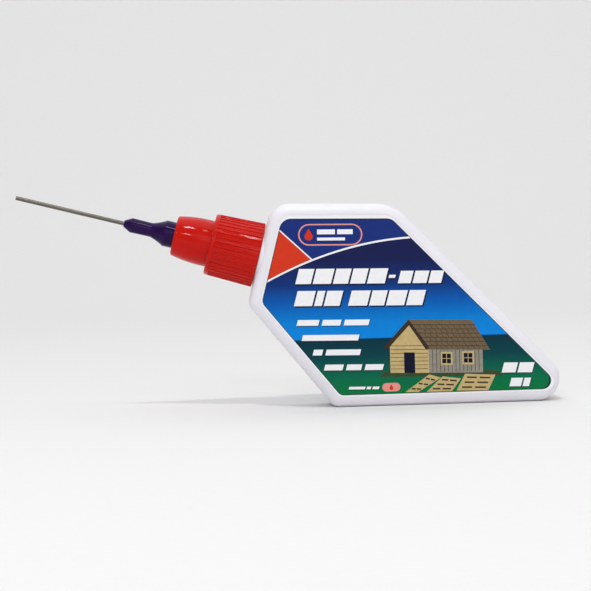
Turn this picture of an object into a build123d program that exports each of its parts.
"""A squeeze bottle for glue with a screw cap and a luer-lock needle tip.

Millimetres. The bottle is a flat five-sided flask that stands on its long lower edge.
+X runs along that edge away from the needle, +Z is up and the front label faces -Y.
The origin is the centre of the flat base. The neck, cap and needle share one axis,
which leaves the shoulder at NECK_TILT above the horizontal, and heights written h
are measured along that axis from the shoulder.
"""

from build123d import *

import os
from math import cos, radians, sin

# Flask: corners are measured from its sharp lower left corner as (x, z)
BODY_THICKNESS = 17.0
WALL = 1.0
EDGE_RADIUS = 2.6
BASE_LENGTH = 66.7
BASE_CENTRE = 27.25
NECK_TILT = 15.0
SHOULDER_MIDDLE = (-18.1, 40.1)
SHOULDER_LENGTH = 27.0
NECK_OFFSET = -0.35
TOP_RIGHT_CORNER = (16.7, 52.3)
BASE_CORNER_RADIUS = 3.1
TIP_RADIUS = 5.9
TOP_RIGHT_RADIUS = 11.0
TOP_LEFT_RADIUS = 5.7
LOW_SHOULDER_RADIUS = 3.6
SEAM_WIDTH = 0.3
SEAM_HEIGHT = 0.12

# Labels and glue
LABEL_INSET = 2.8
LABEL_THICKNESS = 0.1
LABEL_RADII = [2.0, 2.3, 3.0, 3.1, 2.4]
FILL_LEVEL = 27.3
FILL_GAP = 0.02

# Neck finish
NECK_HEIGHT = 10.6
NECK_RADIUS = 6.0
NECK_BORE_RADIUS = 4.5
THROAT_RADIUS = 6.0
THROAT_END = 0.8
SEAT_RADIUS = 7.9
SEAT_FRONT = 0.2
NECK_FLARE = 0.6
LIP_CHAMFER = 0.4
CAP_LEAD = 3.0
NECK_THREAD_DEPTH = 0.8
CAP_THREAD_DEPTH = 0.6
THREAD_BASE = 1.6
THREAD_CREST = 0.8
NECK_THREAD_START = 3.6
NECK_THREAD_TURNS = 1.6
CAP_THREAD_TURNS = 2.0

# Screw cap
SKIRT_BACK = 0.35
SKIRT_FRONT = 13.4
SKIRT_BACK_RADIUS = 8.28
SKIRT_FRONT_RADIUS = 7.87
SKIRT_ROUND = 0.6
RIM_LENGTH = 1.2
RIB_COUNT = 40
RIB_RADIUS = 0.22
RIB_BACK_MARGIN = 0.1
CAVITY_RADIUS = 6.95
CEILING = 11.82
BOSS_RADIUS = 6.1
BOSS_BULGE = 0.3
BOSS_MOUTH_RADIUS = 5.3
BOSS_ROUND = 0.7
BOSS_FRONT = 23.0

# Luer lock: 6 % taper on the cone and a two-start thread around it
LUER_TAPER = 0.03
LUER_TIP = 25.1
LUER_TIP_RADIUS = 1.985
LUER_BORE_RADIUS = 1.1
LUER_LEAD = 5.08
SOCKET_FLOOR = 16.2
SOCKET_RADIUS = 4.05
SOCKET_THREAD_START = 16.9
SOCKET_THREAD_TURNS = 1.05
SOCKET_THREAD_DEPTH = 0.5
SOCKET_THREAD_BASE = 1.2
SOCKET_THREAD_CREST = 0.6

# Sealing washer
WASHER_RADIUS = 6.55
WASHER_HOLE_RADIUS = 2.0
WASHER_THICKNESS = 1.2
WASHER_PLAY = 0.01

# Needle hub
HUB_BACK = 17.5
HUB_BARREL_FRONT = 25.5
HUB_BARREL_RADIUS = 3.42
HUB_FLARE_FRONT = 29.1
HUB_FLARE_DISH = 0.13
HUB_STEM_RADIUS = 1.85
HUB_STEM_FRONT = 34.5
HUB_STEM_FRONT_RADIUS = 1.92
HUB_FRONT = 36.4
HUB_FRONT_RADIUS = 0.86
HUB_CLEARANCE = 0.03
CONE_ROOM = 0.5
THROTTLE_RADIUS = 0.45
THROTTLE_LENGTH = 0.6
LUG_HEIGHT = 0.48
LUG_TURNS = 0.28
LUG_BASE = 1.0
LUG_CREST = 0.5

# Needle tube and its bond
TUBE_RADIUS = 0.535
TUBE_BORE_RADIUS = 0.345
TUBE_BACK = 29.8
TUBE_FRONT = 65.3
WELL_RADIUS = 0.72
WELL_DEPTH = 1.2

EMBED = 0.1  # how far a thread reaches into the wall that carries it

neck_tilt = radians(NECK_TILT)
neck_direction = Vector(-cos(neck_tilt), 0, sin(neck_tilt))
neck_up = Vector(sin(neck_tilt), 0, cos(neck_tilt))
shoulder_middle = Vector(SHOULDER_MIDDLE[0] - BASE_CENTRE, 0, SHOULDER_MIDDLE[1])
neck_foot = shoulder_middle + neck_up * NECK_OFFSET
neck_axis = Axis(neck_foot, neck_direction)
# Turned parts are drawn on this plane: x is the radius and y is h
turning_plane = Plane(origin=neck_foot, x_dir=neck_up, z_dir=(0, -1, 0))

half_shoulder = Vector(sin(neck_tilt), cos(neck_tilt)) * (SHOULDER_LENGTH / 2)
flask_corners = [
    Vector(0, 0),
    Vector(BASE_LENGTH, 0),
    Vector(*TOP_RIGHT_CORNER),
    Vector(*SHOULDER_MIDDLE) + half_shoulder,
    Vector(*SHOULDER_MIDDLE) - half_shoulder,
]
flask_radii = [BASE_CORNER_RADIUS, TIP_RADIUS, TOP_RIGHT_RADIUS, TOP_LEFT_RADIUS, LOW_SHOULDER_RADIUS]


def inset_corner(index, inset):
    """A corner of the flask's outline once both of its sides have come in by inset."""
    corner = flask_corners[index]
    back = (flask_corners[index - 1] - corner).normalized()
    ahead = (flask_corners[(index + 1) % len(flask_corners)] - corner).normalized()
    half_angle = radians(back.get_angle(ahead)) / 2
    moved = corner + (back + ahead).normalized() * (inset / sin(half_angle))
    return (moved.X - BASE_CENTRE, moved.Y)


def flask_face(plane, inset, radii):
    """The flask's outline on this plane, inset, with these corner radii."""
    corners = [inset_corner(i, inset) for i in range(len(flask_corners))]
    with BuildSketch(plane) as face:
        with BuildLine():
            FilletPolyline(*corners, radius=radii, close=True)
        make_face()
    return face.sketch


def pillow(inset):
    """The flask's rounded form as a solid, inset on every side."""
    inner_radii = [radius - inset for radius in flask_radii]
    with BuildPart() as form:
        extrude(flask_face(Plane.XZ, inset, inner_radii), amount=BODY_THICKNESS / 2 - inset, both=True)
        fillet(form.faces().filter_by(Axis.Y).edges(), radius=EDGE_RADIUS - inset)
    return form.part


def turned(*points):
    """A solid turned about the neck axis from this closed outline of (radius, h) points."""
    with BuildPart() as form:
        with BuildSketch(turning_plane):
            with BuildLine():
                Polyline(*points, close=True)
            make_face()
        revolve(axis=neck_axis)
    return form.part


def thread(radius, depth, lead, start, turns, base, crest):
    """A helical ridge on a wall of this radius. A negative depth makes an internal thread."""
    root = EMBED if depth < 0 else -EMBED
    foot = neck_foot + neck_direction * start
    with BuildPart() as ridge:
        with BuildLine() as path:
            Helix(lead, lead * turns, radius, center=foot, direction=neck_direction)
        beginning = path.line @ 0
        outward = (beginning - foot).normalized()
        with BuildSketch(Plane(beginning, x_dir=outward, z_dir=path.line % 0)):
            with BuildLine():
                Polyline(
                    (root, -base / 2),
                    (0, -base / 2),
                    (depth, -crest / 2),
                    (depth, crest / 2),
                    (0, base / 2),
                    (root, base / 2),
                    close=True,
                )
            make_face()
        sweep(path=path.line, is_frenet=True)
    return ridge.part


def across_neck(h):
    """The plane square to the neck axis at this height."""
    return Plane(neck_foot + neck_direction * h, z_dir=neck_direction)


def luer_radius(h):
    """The luer cone's radius at this height."""
    return LUER_TIP_RADIUS + LUER_TAPER * (LUER_TIP - h)


os.makedirs("parts", exist_ok=True)

# Flask: one blow-moulded shell with its neck, its thread and the mould's parting line
flask_form = pillow(0)
flask_cavity = pillow(WALL)
neck_root = -(EDGE_RADIUS + WALL)
neck_form = turned(
    (0, neck_root),
    (SEAT_RADIUS, neck_root),
    (SEAT_RADIUS, SEAT_FRONT),
    (NECK_RADIUS + NECK_FLARE, SEAT_FRONT),
    (NECK_RADIUS, SEAT_FRONT + NECK_FLARE),
    (NECK_RADIUS, NECK_HEIGHT - LIP_CHAMFER),
    (NECK_RADIUS - LIP_CHAMFER, NECK_HEIGHT),
    (0, NECK_HEIGHT),
)
neck_bore = turned(
    (0, neck_root),
    (THROAT_RADIUS, neck_root),
    (THROAT_RADIUS, -WALL),
    (NECK_BORE_RADIUS, THROAT_END),
    (NECK_BORE_RADIUS, NECK_HEIGHT),
    (0, NECK_HEIGHT),
)
neck_thread = thread(
    NECK_RADIUS, NECK_THREAD_DEPTH, CAP_LEAD, NECK_THREAD_START, NECK_THREAD_TURNS, THREAD_BASE, THREAD_CREST
)
seam_face = flask_face(Plane.XZ, -SEAM_HEIGHT, flask_radii)
front_label_plane = Plane.XZ.offset(BODY_THICKNESS / 2 - LABEL_THICKNESS)
back_label_plane = Plane.XZ.offset(-BODY_THICKNESS / 2)
front_label_face = flask_face(front_label_plane, LABEL_INSET, LABEL_RADII)
back_label_face = flask_face(back_label_plane, LABEL_INSET, LABEL_RADII)

with BuildPart() as parting_line:
    extrude(seam_face, amount=SEAM_WIDTH / 2, both=True)
    split(bisect_by=Plane.XY, keep=Keep.TOP)

with BuildPart() as bottle_body:
    add(flask_form)
    add(parting_line)
    add(neck_form)
    add(flask_cavity, mode=Mode.SUBTRACT)
    add(neck_bore, mode=Mode.SUBTRACT)
    add(neck_thread)
    extrude(front_label_face, amount=LABEL_THICKNESS, mode=Mode.SUBTRACT)
    extrude(back_label_face, amount=LABEL_THICKNESS, mode=Mode.SUBTRACT)
bottle_body.part.label = "bottle_body"
export_step(bottle_body.part, "parts/bottle_body.step")

# Labels: thin films moulded flush into the two broad faces
with BuildPart() as front_label:
    extrude(front_label_face, amount=LABEL_THICKNESS)
front_label.part.label = "front_label"
export_step(front_label.part, "parts/front_label.step")

with BuildPart() as back_label:
    extrude(back_label_face, amount=LABEL_THICKNESS)
back_label.part.label = "back_label"
export_step(back_label.part, "parts/back_label.step")

# Glue standing in the flask, level with the horizontal
glue_form = pillow(WALL + FILL_GAP)

with BuildPart() as glue_fill:
    add(glue_form)
    split(bisect_by=Plane.XY.offset(FILL_LEVEL), keep=Keep.BOTTOM)
glue_fill.part.label = "glue_fill"
export_step(glue_fill.part, "parts/glue_fill.step")

# Screw cap: ribbed skirt, barrel-shaped boss, luer cone and locking socket in one moulding
cap_thread_start = NECK_THREAD_START - CAP_LEAD / 2
cap_thread = thread(
    CAVITY_RADIUS, -CAP_THREAD_DEPTH, CAP_LEAD, cap_thread_start, CAP_THREAD_TURNS, THREAD_BASE, THREAD_CREST
)
socket_thread = thread(
    SOCKET_RADIUS,
    -SOCKET_THREAD_DEPTH,
    LUER_LEAD,
    SOCKET_THREAD_START,
    SOCKET_THREAD_TURNS,
    SOCKET_THREAD_BASE,
    SOCKET_THREAD_CREST,
)
rim_radius = SKIRT_FRONT_RADIUS + RIB_RADIUS
rim_back = SKIRT_FRONT - RIM_LENGTH
skirt_slope = (SKIRT_FRONT_RADIUS - SKIRT_BACK_RADIUS) / (rim_back - SKIRT_BACK)
rib_length = rim_back - SKIRT_BACK - RIB_BACK_MARGIN
rib_foot = neck_foot + neck_direction * (SKIRT_BACK + RIB_BACK_MARGIN) + neck_up * SKIRT_BACK_RADIUS
with BuildPart() as rib:
    with BuildSketch(Plane(rib_foot, z_dir=neck_direction + neck_up * skirt_slope)):
        Circle(RIB_RADIUS)
    extrude(amount=rib_length)
ribs = [rib.part.rotate(neck_axis, 360 * i / RIB_COUNT) for i in range(RIB_COUNT)]

with BuildPart() as screw_cap:
    with BuildSketch(turning_plane):
        with BuildLine():
            Polyline(
                (CAVITY_RADIUS, SKIRT_BACK),
                (SKIRT_BACK_RADIUS, SKIRT_BACK),
                (SKIRT_FRONT_RADIUS, rim_back),
                (rim_radius, rim_back),
                (rim_radius, SKIRT_FRONT - SKIRT_ROUND),
            )
            TangentArc(
                (rim_radius, SKIRT_FRONT - SKIRT_ROUND),
                (rim_radius - SKIRT_ROUND, SKIRT_FRONT),
                tangent=(0, 1),
            )
            Line((rim_radius - SKIRT_ROUND, SKIRT_FRONT), (BOSS_RADIUS, SKIRT_FRONT))
            SagittaArc((BOSS_RADIUS, SKIRT_FRONT), (BOSS_MOUTH_RADIUS, BOSS_FRONT - BOSS_ROUND), -BOSS_BULGE)
            TangentArc(
                (BOSS_MOUTH_RADIUS, BOSS_FRONT - BOSS_ROUND),
                (BOSS_MOUTH_RADIUS - BOSS_ROUND, BOSS_FRONT),
                tangent=(0, 1),
            )
            Polyline(
                (BOSS_MOUTH_RADIUS - BOSS_ROUND, BOSS_FRONT),
                (SOCKET_RADIUS, BOSS_FRONT),
                (SOCKET_RADIUS, SOCKET_FLOOR),
                (luer_radius(SOCKET_FLOOR), SOCKET_FLOOR),
                (LUER_TIP_RADIUS, LUER_TIP),
                (LUER_BORE_RADIUS, LUER_TIP),
                (LUER_BORE_RADIUS, CEILING),
                (CAVITY_RADIUS, CEILING),
                (CAVITY_RADIUS, SKIRT_BACK),
            )
        make_face()
    revolve(axis=neck_axis)
    add(ribs)
    add(cap_thread)
    add(socket_thread)
    add(socket_thread.rotate(neck_axis, 180))
screw_cap.part.label = "screw_cap"
export_step(screw_cap.part, "parts/screw_cap.step")

# Sealing washer between the neck's lip and the cap's ceiling
washer_back = CEILING - WASHER_PLAY - WASHER_THICKNESS
with BuildPart() as sealing_washer:
    with BuildSketch(across_neck(washer_back)):
        Circle(WASHER_RADIUS)
        Circle(WASHER_HOLE_RADIUS, mode=Mode.SUBTRACT)
    extrude(amount=WASHER_THICKNESS)
sealing_washer.part.label = "sealing_washer"
export_step(sealing_washer.part, "parts/sealing_washer.step")

# Needle hub: a luer socket with two locking lugs, a dished flare and a stem
lug_start = SOCKET_THREAD_START + LUER_LEAD / 4
lug = thread(HUB_BARREL_RADIUS, LUG_HEIGHT, LUER_LEAD, lug_start, LUG_TURNS, LUG_BASE, LUG_CREST)
socket_front = LUER_TIP + CONE_ROOM
throttle_front = TUBE_BACK - HUB_CLEARANCE
bond_back = HUB_FRONT - WELL_DEPTH
well_floor = bond_back - HUB_CLEARANCE
hub_bore = turned(
    (0, HUB_BACK),
    (luer_radius(HUB_BACK) + HUB_CLEARANCE, HUB_BACK),
    (luer_radius(socket_front) + HUB_CLEARANCE, socket_front),
    (THROTTLE_RADIUS, throttle_front - THROTTLE_LENGTH),
    (THROTTLE_RADIUS, throttle_front),
    (TUBE_RADIUS + HUB_CLEARANCE, throttle_front),
    (TUBE_RADIUS + HUB_CLEARANCE, well_floor),
    (WELL_RADIUS, well_floor),
    (WELL_RADIUS, HUB_FRONT),
    (0, HUB_FRONT),
)

with BuildPart() as needle_hub:
    with BuildSketch(turning_plane):
        with BuildLine():
            Polyline((0, HUB_BACK), (HUB_BARREL_RADIUS, HUB_BACK), (HUB_BARREL_RADIUS, HUB_BARREL_FRONT))
            SagittaArc(
                (HUB_BARREL_RADIUS, HUB_BARREL_FRONT),
                (HUB_STEM_RADIUS, HUB_FLARE_FRONT),
                HUB_FLARE_DISH,
            )
            Polyline(
                (HUB_STEM_RADIUS, HUB_FLARE_FRONT),
                (HUB_STEM_FRONT_RADIUS, HUB_STEM_FRONT),
                (HUB_FRONT_RADIUS, HUB_FRONT),
                (0, HUB_FRONT),
                (0, HUB_BACK),
            )
        make_face()
    revolve(axis=neck_axis)
    add(lug)
    add(lug.rotate(neck_axis, 180))
    add(hub_bore, mode=Mode.SUBTRACT)
needle_hub.part.label = "needle_hub"
export_step(needle_hub.part, "parts/needle_hub.step")

# Needle: a steel tube cut off square
with BuildPart() as needle_tube:
    with BuildSketch(across_neck(TUBE_BACK)):
        Circle(TUBE_RADIUS)
        Circle(TUBE_BORE_RADIUS, mode=Mode.SUBTRACT)
    extrude(amount=TUBE_FRONT - TUBE_BACK)
needle_tube.part.label = "needle_tube"
export_step(needle_tube.part, "parts/needle_tube.step")

# Bond: the ring of set adhesive that holds the tube in the hub's front well
with BuildPart() as needle_bond:
    with BuildSketch(across_neck(bond_back)):
        Circle(WELL_RADIUS - HUB_CLEARANCE)
        Circle(TUBE_RADIUS, mode=Mode.SUBTRACT)
    extrude(amount=WELL_DEPTH)
needle_bond.part.label = "needle_bond"
export_step(needle_bond.part, "parts/needle_bond.step")
